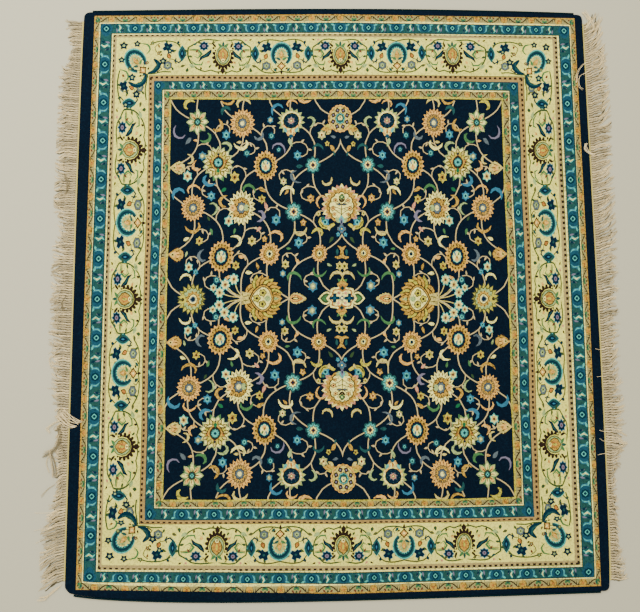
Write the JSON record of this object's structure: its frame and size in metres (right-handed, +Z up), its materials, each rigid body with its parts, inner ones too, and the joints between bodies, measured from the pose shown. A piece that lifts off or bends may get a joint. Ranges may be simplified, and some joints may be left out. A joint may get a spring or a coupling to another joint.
{
  "type": "persian rug",
  "caption": "Hand-knotted pile rug lying flat, with a floral field, a palmette border between guard stripes, dark overcast sides and a warp fringe at both ends.",
  "frame": {"origin": "on the floor, under the middle of the rug's box, fringes included", "axes": "+X along the warps to the right-hand fringe, +Y across them to the upper selvedge, +Z up"},
  "size_m": [2.695, 2.8001, 0.01],
  "materials": {
    "wool_pile": "short cut wool pile, navy ground with ivory, gold, teal and green knots",
    "selvedge_wool": "overcast dark green-blue wool, matt",
    "kilim_cotton": "plain flat weave, matt",
    "fringe_cotton": "twisted warp yarn, matt"
  },
  "bodies": {
    "root": {"pile_rug": "wool_pile", "selvedge_top": "selvedge_wool", "selvedge_bottom": "selvedge_wool", "kilim_end_left": "kilim_cotton", "kilim_end_right": "kilim_cotton", "fringe_left": "fringe_cotton", "fringe_right": "fringe_cotton"}
  },
  "joints": []
}
